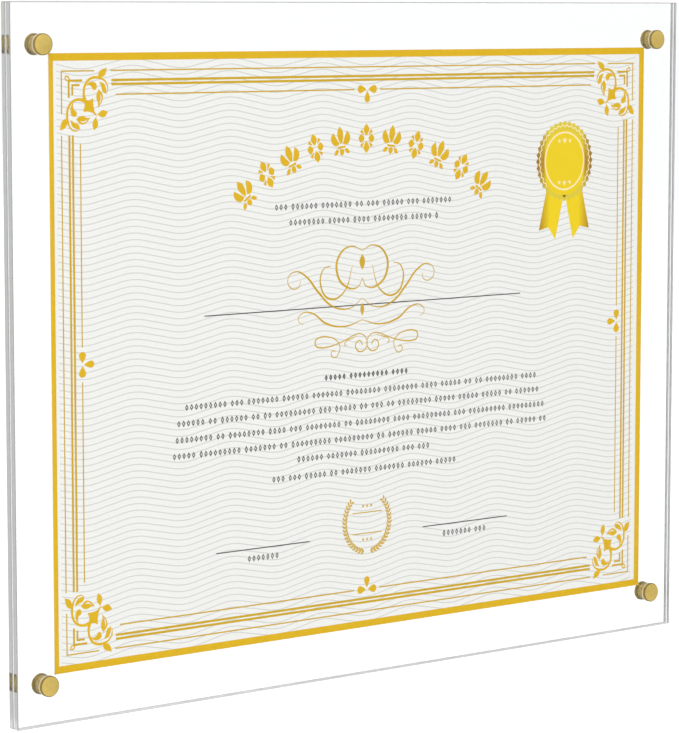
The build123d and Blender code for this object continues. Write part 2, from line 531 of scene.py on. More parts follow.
def drawn_mesh(name, lines, closed, **shape):
    """A mesh of a curve in the drawing plane, in millimetres, with the curve's settings given by name."""
    pick()
    bpy.ops.curve.primitive_bezier_circle_add(radius=1)
    piece = bpy.context.object
    piece.name = name
    piece.data.splines.clear()
    set_all(piece.data, dimensions="2D", **shape)
    for points in lines:
        add_line(piece.data, points, closed)
    pick(piece)
    bpy.ops.object.convert(target="MESH")
    return bpy.context.object


def draw(name, outlines=(), strokes=(), resolution=8):
    """A flat mesh, one unit thick, of filled outlines and strokes. An outline inside another is a hole."""
    parts = []
    if outlines:
        parts.append(drawn_mesh(name, outlines, True, resolution_u=resolution, fill_mode="BOTH", extrude=0.5))
    if strokes:
        parts.append(drawn_mesh(name, strokes, False, resolution_u=resolution, fill_mode="NONE",
                                bevel_depth=1, bevel_resolution=0, use_fill_caps=True))
    pick(*parts)
    if len(parts) > 1:
        bpy.ops.object.join()
    return bpy.context.object


def weld():
    """In edit mode, merge the vertices that meet and turn all faces outwards."""
    bpy.ops.mesh.select_all(action="SELECT")
    bpy.ops.mesh.remove_doubles(threshold=0.001)
    bpy.ops.mesh.normals_make_consistent(inside=False)
    edit(False)


def print_on_card(piece, layer, material, shift=0.0):
    """Close a flat mesh, give it the thickness of its print layer and lay it on the card's front face."""
    pick(piece)
    edit()
    weld()
    bpy.ops.object.shade_flat()
    thickness = layer * PRINT_LAYER
    for vertex in piece.data.vertices:
        if abs(vertex.co.z) > 1e-5:
            vertex.co.z = thickness / 2 if vertex.co.z > 0 else -thickness / 2
    put_in_place(piece, (shift * MM, CARD_FACE - thickness / 2 * MM, 0), (pi / 2, 0, 0), (MM, MM, MM))
    dress(piece, material)
    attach(piece, "certificate")


def draw_and_print(name, ink, outlines=(), strokes=(), shift=0.0):
    """Draw one piece and print it in one of the inks."""
    print_on_card(draw(name, outlines, strokes), INK_LAYER, printed_ink(ink), shift)


def print_at_corners(piece, ink):
    """Print a drawing made for the top left corner at all four corners, mirrored."""
    for corner, (side_x, side_z) in CORNERS.items():
        copy = copied(piece, f"{piece.name}_{corner}", scale=(-side_x, side_z, 1))
        print_on_card(copy, INK_LAYER, printed_ink(ink), BORDER_SHIFT)
    bpy.data.objects.remove(piece)


def turn_profile(name, profile, sides, closed=False):
    """Turn a profile of (radius, height) points: a circle, extruded from point to point. A profile that isn't
    closed gets a flat disc at each end."""
    pick()
    radius, height = profile[0]
    bpy.ops.mesh.primitive_circle_add(vertices=sides, radius=radius, location=(0, 0, 0),
                                      fill_type="NOTHING" if closed else "NGON")
    piece = bpy.context.object
    piece.name = name
    edit()
    bpy.ops.mesh.select_mode(type="EDGE")
    bpy.ops.mesh.select_all(action="SELECT")
    bpy.ops.transform.translate(value=(0, 0, height))
    if not closed:
        mesh = bmesh.from_edit_mesh(piece.data)
        for face in mesh.faces:
            face.select = False
        for edge in mesh.edges:
            edge.select = True
        bmesh.update_edit_mesh(piece.data)
    for next_radius, next_height in profile[1:] + (profile[:1] if closed else []):
        bpy.ops.mesh.extrude_edges_move(TRANSFORM_OT_translate={"value": (0, 0, next_height - height)})
        stretch = next_radius / radius
        bpy.ops.transform.resize(value=(stretch, stretch, 1), center_override=(0, 0, next_height))
        radius, height = next_radius, next_height
    if not closed:
        bpy.ops.mesh.edge_face_add()
    weld()
    return piece


def finish_turned(piece, edge_break, rounded=None):
    """Round the edges given by (radius, height), break the other sharp edges of a turned piece, smooth its
    round faces and give it a map about its axis."""
    pick(piece)
    for (radius, height), reach in (rounded or {}).items():
        edit()
        bpy.ops.mesh.select_mode(type="EDGE")
        bpy.ops.mesh.select_all(action="DESELECT")
        mesh = bmesh.from_edit_mesh(piece.data)
        for edge in mesh.edges:
            edge.select = all(abs(v.co.z - height) < NEAR and abs(v.co.xy.length - radius) < NEAR
                              for v in edge.verts)
        bmesh.update_edit_mesh(piece.data)
        bpy.ops.mesh.bevel(offset=reach, segments=4, affect="EDGES")
        edit(False)
    modify(piece, "BEVEL", width=edge_break, segments=2, limit_method="ANGLE", angle_limit=radians(40))
    bpy.ops.object.shade_smooth_by_angle(angle=radians(22))
    for layer in list(piece.data.uv_layers):
        piece.data.uv_layers.remove(layer)
    around = piece.data.uv_layers.new(name="turned")
    for loop in piece.data.loops:
        around.data[loop.index].uv = piece.data.vertices[loop.vertex_index].co.xy


def place_at_corners(piece, kind, body, material):
    """Copy a piece, modelled about the Z axis with the room above, to the four fasteners."""
    for corner in CORNERS:
        low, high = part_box(f"{kind}_{corner}")
        copy = copied(piece, f"{piece.name}_{corner}", ((low.x + high.x) / 2, 0, (low.z + high.z) / 2),
                      (pi / 2, 0, 0), (MM, MM, MM))
        dress(copy, material)
        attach(copy, body.format(corner=corner))
        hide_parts(f"{kind}_{corner}")
    bpy.data.objects.remove(piece)


# The panels and the card

class CERTIFICATE_OT_panels(bpy.types.Operator):
    """Give the clear panels, the film washers and the card their materials"""
    bl_idname = "certificate_frame.panels"
    bl_label = "Panels, washers and card"

    def execute(self, context):
        acrylic = clear_cast_acrylic()
        film = clear_film()
        dress(NODES["back_panel"], acrylic)
        dress(NODES["front_panel"], acrylic)
        dress(NODES["certificate"], smooth_card())
        for corner in CORNERS:
            for kind in ("rear_washer", "spacer", "front_washer"):
                dress(NODES[f"{kind}_{corner}"], film)
        return {"FINISHED"}


# The print on the card, from the ground up

class CERTIFICATE_OT_wave_ground(bpy.types.Operator):
    """Print the ground of fine wave lines"""
    bl_idname = "certificate_frame.wave_ground"
    bl_label = "Wave ground"

    def execute(self, context):
        ink = settings().print
        quarter = ink.wave_length / MM / 4
        height = ink.wave_height / MM
        pitch = ink.wave_pitch / MM
        count = int((CARD_HEIGHT - 2 * height) / pitch)
        top = (count - 1) * pitch / 2
        first = -round(ink.wave_crest / MM / quarter)
        line = []
        for step in range(first, first + int(CARD_WIDTH / quarter) + 1):
            x = ink.wave_crest / MM + step * quarter - CARD_WIDTH / 2
            line.append((x, top + height * cos(step * pi / 2), ink.wave_width / MM / 2))
        ground = draw("wave_ground", strokes=[line], resolution=4)
        modify(ground, "ARRAY", count=count, use_relative_offset=False, use_constant_offset=True,
               constant_offset_displace=(0, -pitch, 0))
        print_on_card(ground, WAVE_LAYER, printed_ink("grey_ground_ink"))
        return {"FINISHED"}


# Band along the card's edge: what stays bare at the edge, and the band's width at the left, at the right, and
# at the top and bottom
CARD_EDGE = 0.05
BAND_LEFT, BAND_RIGHT, BAND_LEVEL = 1.9, 2.6, 2.65

# Ruled lines of the border: from the card's edge to the line's middle, half of its width, and from the
# card's corner to its end. The innermost lines leave room for a trefoil in the middle of each side
LEVEL_RULES = ((6.15, 0.25, 25.9), (9.5, 0.44, 26.2), (10.9, 0.44, 26.2))
UPRIGHT_RULES = ((5.5, 0.24, 28.3), (8.7, 0.42, 28.3), (10.1, 0.42, 28.3))
INNER_LEVEL_RULE = (14.45, 0.25, 28.0)
INNER_UPRIGHT_RULE = (13.2, 0.24, 31.2)
TREFOIL_ROOM = 6.05

# Angles that turn the corners, one long and thin and two short ones inside it: left, top, wide, high and
# the width of the line
BORDER_ANGLES = ((5.65, 6.2, 13.5, 14.75, 0.48), (8.6, 9.5, 5.5, 5.9, 0.8), (10.05, 11.05, 3.0, 3.4, 0.76))


def angle(left, top, wide, high, width):
    """Outline of an angle of two bars, its outer corner towards the card's corner."""
    x0, y0 = on_card(left - width / 2, top - width / 2)
    x1, y1 = on_card(left + wide, top + high)
    return [(x0, y0, "tip"), (x1, y0, "tip"), (x1, y0 - width, "tip"), (x0 + width, y0 - width, "tip"),
            (x0 + width, y1, "tip"), (x0, y1, "tip")]


class CERTIFICATE_OT_border(bpy.types.Operator):
    """Print the border: a band along the card's edge and the ruled lines inside it"""
    bl_idname = "certificate_frame.border"
    bl_label = "Border"

    def execute(self, context):
        wide, high = CARD_WIDTH, CARD_HEIGHT
        draw_and_print("border_edge_band", "gold_ink", [
            bar(CARD_EDGE, CARD_EDGE, wide - CARD_EDGE, high - CARD_EDGE),
            bar(BAND_LEFT, BAND_LEVEL, wide - BAND_RIGHT, high - BAND_LEVEL)])
        rules = [(end, z - half, wide - end, z + half) for z, half, end in LEVEL_RULES]
        rules += [(x - half, end, x + half, high - end) for x, half, end in UPRIGHT_RULES]
        z, half, end = INNER_LEVEL_RULE
        rules += [(end, z - half, wide / 2 - TREFOIL_ROOM, z + half),
                  (wide / 2 + TREFOIL_ROOM, z - half, wide - end, z + half)]
        x, half, end = INNER_UPRIGHT_RULE
        rules += [(x - half, end, x + half, high / 2 - TREFOIL_ROOM),
                  (x - half, high / 2 + TREFOIL_ROOM, x + half, high - end)]
        outlines = []
        for left, top, right, bottom in rules:
            outlines.append(bar(left, top, right, bottom))
            if right - left < bottom - top:
                outlines.append(bar(wide - right, top, wide - left, bottom))
            else:
                outlines.append(bar(left, high - bottom, right, high - top))
        draw_and_print("border_rules", "gold_line_ink", outlines, shift=BORDER_SHIFT)
        print_at_corners(draw("border_angles", [angle(*place) for place in BORDER_ANGLES]), "gold_line_ink")
        return {"FINISHED"}


# Corner ornament, drawn on the diagonal of the card's top left corner: leaves and a scroll at each side that
# are mirrored across the diagonal, and a lozenge, stem and bud that stand on it
CORNER_LEAVES = [
    [(24.1, 4.5, "tip"), (23.2, 6.9), (20.4, 7.9, "tip"), (20.9, 5.8)],
    [(20.8, 8.9, "tip"), (22.7, 9.5), (23.6, 10.8), (23.95, 12.9, "tip"), (22.3, 12.1), (21.7, 10.5)],
    [(15.4, 10.2, "tip"), (16.3, 9.3), (18.0, 8.95), (19.5, 9.5), (19.85, 10.6), (19.2, 11.5), (18.2, 11.3),
     (17.6, 10.4), (16.6, 10.0)],
    [(20.7, 11.3, "tip"), (22.35, 13.3), (21.9, 15.4), (20.2, 17.2, "tip"), (20.3, 15.8), (19.7, 14.2),
     (19.8, 12.7)],
    [(21.3, 12.8, "tip"), (21.8, 14.3), (20.7, 16.3, "tip"), (21.35, 14.4)],
    [(20.0, 19.45, "tip"), (22.0, 18.0), (24.4, 18.5, "tip"), (22.8, 20.2)],
]
CORNER_SCROLL = [(14.9, 14.9, 0.7), (14.45, 12.4, 0.48), (15.25, 9.6, 0.45), (17.0, 8.05, 0.45),
                 (19.6, 7.55, 0.48), (21.6, 7.9, 0.4), (23.3, 8.8, 0.3), (24.3, 10.4, 0.26),
                 (24.25, 12.4, 0.1)]
CORNER_LOZENGE = [(14.3, 14.3, "tip"), (16.5, 14.75), (18.3, 14.1, "tip"), (18.4, 16.5), (19.1, 19.1, "tip"),
                  (16.5, 18.4), (14.1, 18.3, "tip"), (14.75, 16.5)]
CORNER_STEM = [(18.6, 18.7, 0.4), (19.1, 19.2, 0.3), (19.9, 19.9, 0.15)]
CORNER_BUD = [(6.9, 7.05, 0.26), (7.0, 7.9, 0.28), (7.8, 8.4, 0.28), (8.4, 8.5, 0.2), (8.5, 7.9, 0.28),
              (7.8, 7.15, 0.28), (6.9, 7.05, 0.26)]
CORNER_PLACE = 0.3, 0.25


def in_corner(points, across=False):
    """Artwork points as drawing points in the top left corner, or mirrored across the corner's diagonal."""
    placed = []
    for point in points:
        a, b = (point[1], point[0]) if across else (point[0], point[1])
        placed.append((*on_card(a + CORNER_PLACE[0], b * SQUEEZE + CORNER_PLACE[1]), *point[2:]))
    return placed


class CERTIFICATE_OT_corner_ornaments(bpy.types.Operator):
    """Print the scrolled leaf ornament in the four corners"""
    bl_idname = "certificate_frame.corner_ornaments"
    bl_label = "Corner ornaments"

    def execute(self, context):
        outlines = [in_corner(leaf, across) for leaf in CORNER_LEAVES for across in (False, True)]
        outlines.append(in_corner(CORNER_LOZENGE))
        strokes = [in_corner(CORNER_SCROLL), in_corner(CORNER_SCROLL, True), in_corner(CORNER_STEM),
                   in_corner(CORNER_BUD)]
        print_at_corners(draw("corner_ornament", outlines, strokes), "gold_ink")
        return {"FINISHED"}


# From the card's edge to a trefoil, at the top and bottom and at the sides, and where its petals start, how
# long they are and how wide
TREFOIL_INSET, TREFOIL_SIDE_INSET = 14.35, 13.2
MIDDLE_PETAL, SIDE_PETAL = (0.6, 4.3, 2.4), (0.5, 4.0, 2.8)


def petal(start, length, width):
    """Outline of a petal along X that begins as a tip and is widest near its far end."""
    shape = [(0, 0, "tip"), (0.45, 0.42), (0.78, 0.5), (1, 0), (0.78, -0.5), (0.45, -0.42)]
    return moved(shape, start, wide=length, high=width)


class CERTIFICATE_OT_trefoils(bpy.types.Operator):
    """Print a small trefoil in the middle of each side"""
    bl_idname = "certificate_frame.trefoils"
    bl_label = "Side trefoils"

    def execute(self, context):
        wide, high, inset, side_inset = CARD_WIDTH, CARD_HEIGHT, TREFOIL_INSET, TREFOIL_SIDE_INSET
        places = {"top": (wide / 2, inset, -pi / 2), "bottom": (wide / 2, high - inset, pi / 2),
                  "left": (side_inset, high / 2, 0), "right": (wide - side_inset, high / 2, pi)}
        trefoil = draw("side_trefoil", [petal(*MIDDLE_PETAL), moved(petal(*SIDE_PETAL), turn=pi / 2),
                                        moved(petal(*SIDE_PETAL), turn=-pi / 2)])
        for side, (x, down, turn) in places.items():
            copy = copied(trefoil, f"side_trefoil_{side}", (*on_card(x, down), 0), (0, 0, turn))
            print_on_card(copy, INK_LAYER, printed_ink("gold_ink"), BORDER_SHIFT)
        bpy.data.objects.remove(trefoil)
        return {"FINISHED"}


# Two fleurons that take turns along the title's arc, and the arc: its centre, its radius, the angle from one
# fleuron to the next, how many there are and how they are stretched
PALMETTE = [
    [(0, 5.25, "tip"), (1.25, 3.2), (1.1, 1.0), (0.35, -0.9, "tip"), (-0.35, -0.9, "tip"), (-1.1, 1.0),
     (-1.25, 3.2)],
    [(0.75, -0.9, "tip"), (1.7, 0.9), (3.2, 3.4, "tip"), (4.3, 1.6), (3.9, -0.4), (2.3, -1.5)],
    [(-1.9, -1.75, "tip"), (1.9, -1.75, "tip"), (1.6, -2.5, "tip"), (-1.6, -2.5, "tip")],
    [(0, -5.25, "tip"), (0.95, -4.1), (0.6, -2.85), (-0.6, -2.85), (-0.95, -4.1)],
    [(1.2, -2.85, "tip"), (2.6, -2.9), (3.6, -4.6, "tip"), (2.2, -4.5)],
]
STAR_FLEURON = [
    [(0, 5.25, "tip"), (1.3, 3.3), (0.3, 1.1, "tip"), (-0.3, 1.1, "tip"), (-1.3, 3.3)],
    [(1.0, 0.35, "tip"), (2.4, 1.45), (3.7, 0, "tip"), (2.4, -1.45), (1.0, -0.35, "tip")],
    [(0.9, 1.1, "tip"), (2.0, 3.3, "tip"), (3.0, 2.3, "tip")],
]
TITLE_CENTRE = 138.9, 126.9
TITLE_RADIUS = 94.4
TITLE_STEP = radians(7.28)
TITLE_COUNT = 11
TITLE_STRETCH = {"wide": 1.03, "high": 1.05}


def both_sides(shapes):
    """Shapes with a mirrored copy of each one that stands beside the middle line."""
    drawn = []
    for shape in shapes:
        drawn.append(shape)
        if min(p[0] for p in shape) > 0:
            drawn.append(moved(shape, wide=-1))
    return drawn


class CERTIFICATE_OT_title(bpy.types.Operator):
    """Print the row of fleurons along the title's arc"""
    bl_idname = "certificate_frame.title"
    bl_label = "Title fleurons"

    def execute(self, context):
        star = both_sides(STAR_FLEURON)
        star += [moved(shape, high=-1) for shape in star if min(p[1] for p in shape) > 0.5]
        fleurons = (draw("title_palmette", all_moved(both_sides(PALMETTE), **TITLE_STRETCH)),
                    draw("title_star", all_moved(star, **TITLE_STRETCH)))
        x, y = on_card(*TITLE_CENTRE)
        for place in range(TITLE_COUNT):
            lean = TITLE_STEP * (place - TITLE_COUNT // 2)
            copy = copied(fleurons[place % 2], f"title_fleuron_{place + 1:02d}",
                          (x + TITLE_RADIUS * sin(lean), y + TITLE_RADIUS * cos(lean), 0), (0, 0, -lean))
            print_on_card(copy, INK_LAYER, printed_ink("gold_ink"))
        for fleuron in fleurons:
            bpy.data.objects.remove(fleuron)
        return {"FINISHED"}


# Rows of small hollow lozenges: distance down the card, left end, right end, heavy. Then, for the lozenges,
# the distance from one to the next and from a group's left end to its first one, their sizes, how often a
# group begins with a tall one, and their hollow as a share of their size
TEXT_ROWS = [(56.5, 96.5, 181.75, False), (62.25, 103, 174, False), (120.25, 119.25, 159, True),
             (126.4, 56.25, 222.5, False), (132.1, 52.75, 226, False), (138, 52, 227.25, False),
             (143.75, 50.75, 228, False), (149.5, 106.5, 172, False), (156, 95, 182.25, False),
             (184.1, 83.75, 98, False), (184.1, 176.25, 199, False)]
SIGN_PITCH, SIGN_LEFT, SIGN_HALF_WIDTH = 2.1, 0.8, 0.72
SIGN_HALF_HEIGHT, TALL_SIGN_HALF_HEIGHT = 1.25, 1.45
TALL_SIGN_CHANCE = 0.3
HOLLOW_SHARE, HEAVY_HOLLOW_SHARE = 0.42, 0.25
WORD_SIGNS = 2, 9
WORD_GAP, SHORTEST_WORD = 1.2, 1.5


class CERTIFICATE_OT_text_rows(bpy.types.Operator):
    """Print rows of small grey lozenges, grouped like words"""
    bl_idname = "certificate_frame.text_rows"
    bl_label = "Text rows"

    def execute(self, context):
        chance = random.Random(settings().print.word_seed)
        outlines = {False: [], True: []}
        for down, left, right, heavy in TEXT_ROWS:
            x = left
            while x < right - SHORTEST_WORD:
                for sign in range(min(chance.randint(*WORD_SIGNS), int((right - x) / SIGN_PITCH) + 1)):
                    tall = sign == 0 and chance.random() < TALL_SIGN_CHANCE
                    half_height = TALL_SIGN_HALF_HEIGHT if tall else SIGN_HALF_HEIGHT
                    middle_x, middle_y = on_card(x + SIGN_LEFT, down)
                    for share in (1, HEAVY_HOLLOW_SHARE if heavy else HOLLOW_SHARE):
                        wide, high = SIGN_HALF_WIDTH * share, half_height * share
                        outlines[heavy].append([
                            (middle_x - wide, middle_y, "tip"), (middle_x, middle_y - high, "tip"),
                            (middle_x + wide, middle_y, "tip"), (middle_x, middle_y + high, "tip")])
                    x += SIGN_PITCH
                x += WORD_GAP
        draw_and_print("text_rows", "grey_text_ink", outlines[False])
        draw_and_print("text_heading", "grey_text_ink", outlines[True])
        return {"FINISHED"}


# Right halves of the pen flourish in the name area and of the scroll below it, from their centres, x and up,
# with half of the pen's width before it is thinned
NAME_STROKES = [
    [(0, -4.2, 0.15), (6, -7.6, 0.3), (14, -6.4, 0.5), (21, -0.4, 0.62), (26.5, 5.4, 0.5), (31.5, 7.2, 0.3),
     (34.6, 4.6, 0.22), (33.2, 1.4, 0.3), (29.6, 1.5, 0.25), (28.8, 3.8, 0.15)],
    [(0, 13.6, 0.2), (5.2, 15.4, 0.35), (10.8, 12.2, 0.6), (11.8, 5.6, 0.7), (7.4, 0.4, 0.55),
     (2.0, 0.2, 0.3), (0, 3.4, 0.2)],
    [(0, -12.2, 0.2), (8, -14.2, 0.4), (17, -12.6, 0.55), (23.6, -8.4, 0.4), (28.4, -8.4, 0.25),
     (29.8, -10.8, 0.2), (27.6, -12.4, 0.15)],
    [(4.6, 8.2, 0.15), (8.8, -1.6, 0.4), (15.2, -3.6, 0.55), (19.4, 1.2, 0.5), (18.2, 7.4, 0.35),
     (14.8, 8.6, 0.2)],
]
NAME_DROPS = [[(0, 12.4, "tip"), (1.3, 9.6), (0, 6.2, "tip"), (-1.3, 9.6)],
              [(0, -5.8, "tip"), (0.9, -8.2), (0, -10.8, "tip"), (-0.9, -8.2)]]
SCROLL_STROKES = [
    [(2.2, -1.4, 0.3), (2.9, 0.05, 0.3), (4.2, 0.3, 0.3), (5.45, -1.1, 0.32), (4.9, -2.9, 0.34),
     (2.9, -3.8, 0.34), (0.7, -2.7, 0.3), (-0.1, -0.5, 0.26), (0.7, 1.5, 0.26), (2.7, 2.8, 0.28),
     (4.9, 2.9, 0.3), (8.9, 1.5, 0.3), (13.4, 0, 0.3), (17.9, -1, 0.34), (21.9, -1.1, 0.38),
     (24.1, -0.25, 0.38), (24.1, 1.8, 0.38), (21.9, 2.75, 0.36), (18.3, 2.65, 0.32), (14.7, 1.3, 0.28),
     (12.9, -0.9, 0.26), (13.4, -3.6, 0.26), (15.2, -5.2, 0.28), (16.9, -4.0, 0.28), (16.3, -2.7, 0.26),
     (15, -2.9, 0.3)],
    [(4.5, 2.2, 0.12), (7.6, 1.3, 0.26), (10.3, 0.2, 0.26), (10.5, -0.9, 0.24), (9.4, -0.9, 0.15)],
]
NAME_RULES = ((65, 93.9, 215, 94.3), (69.75, 180.4, 112.25, 180.8), (166.5, 180.4, 208.75, 180.8))
NAME_CENTRE = 137, 87.5
SCROLL_CENTRE = 139.3, 107.8
PEN_SHARE = 0.72


def mirrored_strokes(strokes, place):
    """Pen strokes of a right half, with their left half, put round a centre on the card and thinned."""
    centre_x, centre_y = on_card(*place)
    return [[(x, y, PEN_SHARE * pen) for x, y, pen in moved(stroke, centre_x, centre_y, wide=side)]
            for stroke in strokes for side in (1, -1)]


class CERTIFICATE_OT_flourishes(bpy.types.Operator):
    """Print the pen flourish of the name area, the scroll below it and the ruled lines"""
    bl_idname = "certificate_frame.flourishes"
    bl_label = "Flourishes and rules"

    def execute(self, context):
        draw_and_print("name_flourish", "gold_line_ink", all_moved(NAME_DROPS, *on_card(*NAME_CENTRE)),
                       mirrored_strokes(NAME_STROKES, NAME_CENTRE))
        draw_and_print("scroll_flourish", "gold_line_ink", (),
                       mirrored_strokes(SCROLL_STROKES, SCROLL_CENTRE))
        rules = draw("name_rules", [bar(*rule) for rule in NAME_RULES])
        print_on_card(rules, RULE_LAYER, printed_ink("grey_rule_ink"))
        return {"FINISHED"}


# Printed seal, which stands a little higher than it is wide: its centre, the radius, depth and number of the
# teeth of its rim and disc, how the disc is set and stretched, and its zigzag line between two radii, with
# half of the pen's width and the corners that it runs through at each side of the top. Then its ring and its
# other shapes, x and up from the centre
SEAL_PLACE = 237.5, 43.7
SEAL_STRETCH = 1.06
RIM_TEETH, DISC_TEETH = (14.75, 0.9, 36), (11.9, 0.5, 48)
DISC_RISE, DISC_STRETCH = -0.7, 1.03
ZIGZAG_RADII, ZIGZAG_PEN, ZIGZAG_CORNERS = (12.5, 13.3), 0.36, 27
SEAL_RING = (10.4, 11.4), (9.75, 10.75)
RIBBON = [(-9.0, -10.0, "tip"), (-13.1, -26.6, "tip"), (-8.2, -25.6, "tip"), (-4.6, -30.4, "tip"),
          (-0.3, -13.0, "tip"), (-0.3, -8.0, "tip")]
RIBBON_FOLD = [(-1.7, -13.0, "tip"), (-0.9, -13.5, "tip"), (0, -13.1, "tip"), (0.9, -13.5, "tip"),
               (1.7, -13.0, "tip"), (0, -14.3, "tip")]
SEAL_STARS = ((-2.7, 7.8, 0.9), (0, 8.0, 1.25), (2.7, 7.8, 0.9),
              (-2.7, -8.3, 0.9), (0, -8.5, 1.2), (2.7, -8.3, 0.9))


def oval(wide, high):
    """Outline of an oval round the seal's centre."""
    return [(wide * sin(pi * i / 36), high * cos(pi * i / 36), "tip") for i in range(72)]


def zigzag(places, teeth, outer, inner, kind):
    """Points that go out and in round the seal's centre. The kind is what each point carries as its third
    value."""
    points = []
    for i in places:
        reach = outer if i % 2 == 0 else inner
        points.append((reach * sin(pi * i / teeth), reach * SEAL_STRETCH * cos(pi * i / teeth), kind))
    return points


def serrated(radius, depth, teeth):
    """Outline of a disc with pointed teeth."""
    return zigzag(range(2 * teeth), teeth, radius, radius - depth, "tip")


def small_star(x, y, size):
    """Outline of a five-pointed star."""
    return [(x + reach * sin(pi * i / 5), y + reach * SQUEEZE * cos(pi * i / 5), "tip")
            for i, reach in enumerate((size, size * 0.42) * 5)]


class CERTIFICATE_OT_seal(bpy.types.Operator):
    """Print the gold seal with its ribbons, serrated discs, rings and stars"""
    bl_idname = "certificate_frame.seal"
    bl_label = "Seal"

    def execute(self, context):
        x, y = on_card(*SEAL_PLACE)
        pale_ink = printed_ink("cream_ink")
        rim = serrated(*RIM_TEETH)
        line = zigzag(range(-ZIGZAG_CORNERS, ZIGZAG_CORNERS + 1), RIM_TEETH[2], *ZIGZAG_RADII, ZIGZAG_PEN)
        disc = moved(serrated(*DISC_TEETH), y=DISC_RISE, high=DISC_STRETCH)
        ring_and_stars = [oval(*reach) for reach in SEAL_RING] + [small_star(*star) for star in SEAL_STARS]
        pieces = (
            ("seal_ribbons", [RIBBON, moved(RIBBON, wide=-1)], [], RIBBON_LAYER,
             shaded_foil("gold_foil_ribbon", "#F2D21A", "#A8741E", x, 15, (0.5, 0.92))),
            ("seal_rim", [rim], [], RIM_LAYER,
             shaded_foil("gold_foil_rim", "#E0CA40", "#A0762E", x, 15, (0.55, 0.92))),
            ("seal_zigzag", [], [line], ZIGZAG_LAYER, pale_ink),
            ("seal_disc", [disc], [], DISC_LAYER,
             shaded_foil("gold_foil_disc", "#EFD01C", "#B07E28", x, 12.2, (0.78, 0.92))),
            ("seal_ring_and_stars", ring_and_stars, [], RING_LAYER, pale_ink),
            ("seal_fold", [RIBBON_FOLD], [], RING_LAYER, printed_ink("brown_ink")),
        )
        for name, outlines, strokes, layer, material in pieces:
            piece = draw(name, all_moved(outlines, x, y), all_moved(strokes, x, y), resolution=2)
            print_on_card(piece, layer, material)
        return {"FINISHED"}


# Laurel wreath between the signature lines: its centre, half of its width and height, the pairs of leaves on
# one stem, the degrees from its foot to the first pair and from there to the last, and how the leaves lean.
# Then its stars: how far they stand to the sides, above and below, and their size
WREATH_CENTRE = 139.4, 175.9
WREATH_REACH = 10.6, 11.3
WREATH_LEAVES, WREATH_START, WREATH_SWEEP, LEAF_LEAN = 18, 8, 123, 35
WREATH_STARS_ACROSS, WREATH_STARS_UP, WREATH_STAR = (-1.9, 0, 1.9), (6.1, -6.6), 0.75
WREATH_RULES = ((132.4, 172.1, 146.4, 172.5), (132.4, 180.0, 146.4, 180.4))
LAUREL_LEAF = [(0.1, 0, "tip"), (1.1, 0.38), (2.15, 0, "tip"), (1.1, -0.38)]


class CERTIFICATE_OT_laurel(bpy.types.Operator):
    """Print the small laurel wreath between the signature lines"""
    bl_idname = "certificate_frame.laurel"
    bl_label = "Laurel wreath"

    def execute(self, context):
        leaves, stems = [], []
        wide, high = WREATH_REACH
        for side in (-1, 1):
            stem = []
            for i in range(WREATH_LEAVES):
                turn = radians(WREATH_START + WREATH_SWEEP * i / (WREATH_LEAVES - 1))
                x, y = side * wide * sin(turn), -high * cos(turn)
                along = atan2(high * sin(turn), side * wide * cos(turn))
                stem.append((x, y, 0.14 - 0.004 * i))
                for lean in (LEAF_LEAN, -LEAF_LEAN):
                    leaves.append(moved(LAUREL_LEAF, x, y, along + radians(lean)))
            stems.append(stem)
        stars = [small_star(x, y, WREATH_STAR) for x in WREATH_STARS_ACROSS for y in WREATH_STARS_UP]
        place = on_card(*WREATH_CENTRE)
        draw_and_print("laurel_wreath", "gold_line_ink", all_moved(leaves + stars, *place),
                       all_moved(stems, *place))
        draw_and_print("laurel_rules", "gold_line_ink", [bar(*rule) for rule in WREATH_RULES])
        return {"FINISHED"}


# The turned brass pieces, with the number of sides of their circles

ROUND_SIDES, STUD_SIDES = 96, 64


class CERTIFICATE_OT_caps(bpy.types.Operator):
    """Turn the flat satin brass caps with their rounded front edge and blind bore"""
    bl_idname = "certificate_frame.caps"
    bl_label = "Caps"

    def execute(self, context):
        fastener = settings().fastener
        low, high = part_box("cap_top_left")
        stud_low, stud_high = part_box("stud_top_left")
        radius, rear, front = (high.x - low.x) / 2 / MM, -high.y / MM + TURNING_ROOM, -low.y / MM
        stud_radius, seat = (stud_high.x - stud_low.x) / 2 / MM, -stud_low.y / MM
        cap = turn_profile("cap", [(stud_radius, seat), (stud_radius, rear), (radius, rear), (radius, front)],
                           ROUND_SIDES)
        finish_turned(cap, fastener.edge_break / MM, {(radius, front): fastener.cap_edge / MM})
        # The caps' darker rim is painted shade, and the pale band on their wall is a painted highlight
        brass = turned_brass("satin_turned_brass", fastener.cap_colour, "#DDBF6E", 0.48,
                             (low.y + fastener.rim_width, high.y - fastener.edge_break, fastener.wall_highlight_colour),
                             (fastener.rim_start, fastener.rim_shade_colour))
        place_at_corners(cap, "cap", "cap_{corner}", brass)
        return {"FINISHED"}


# Studs: how far the thread's ridge runs out at its ends, the share of that where it hides in the core, half
# of its width as a share of the pitch, how deep its foot sits in the core, and its steps in one turn. Then
# the tip's bevel, and how far behind the seat the shoulder, the relief and the thread's end stand
THREAD_RUNOUT, THREAD_HIDDEN, THREAD_HALF_WIDTH, THREAD_FOOT, THREAD_STEPS = 0.55, 0.65, 0.47, 0.1, 36
STUD_TIP_BEVEL, STUD_SHOULDER, STUD_RELIEF, THREAD_END = 0.4, 1.1, 1.2, 1.5


